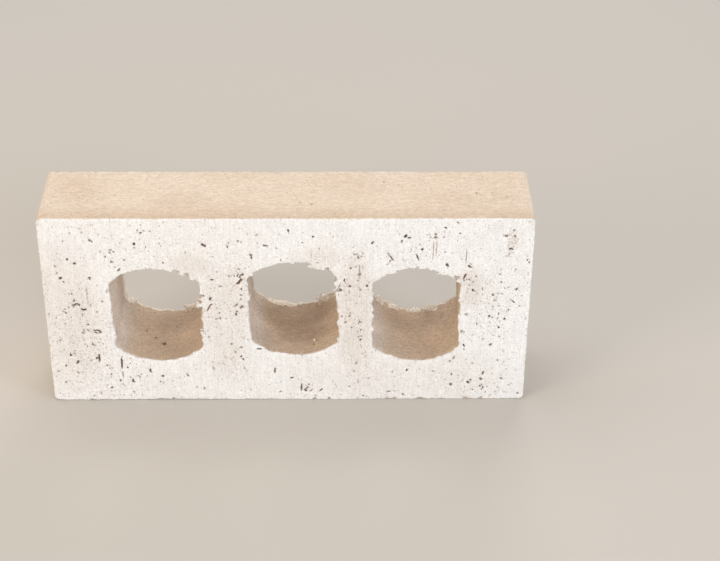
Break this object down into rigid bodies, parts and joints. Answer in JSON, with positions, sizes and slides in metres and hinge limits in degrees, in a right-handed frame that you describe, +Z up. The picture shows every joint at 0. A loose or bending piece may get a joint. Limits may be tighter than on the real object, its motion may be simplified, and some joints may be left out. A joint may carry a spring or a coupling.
{
  "type": "cored clay brick",
  "caption": "White-firing wire-cut clay brick, long and slim, with flat-sided through cores in its bed faces, standing on its long narrow face.",
  "frame": {"origin": "middle of the long narrow (stretcher) face that the brick stands on", "axes": "+X along the length, +Y through the thickness towards the back bed face, +Z up across the bed width"},
  "size_m": [0.23, 0.044, 0.104],
  "materials": {
    "fired_clay": "matte, unglazed, wire-cut"
  },
  "bodies": {
    "root": {"brick": "fired_clay"}
  },
  "joints": []
}
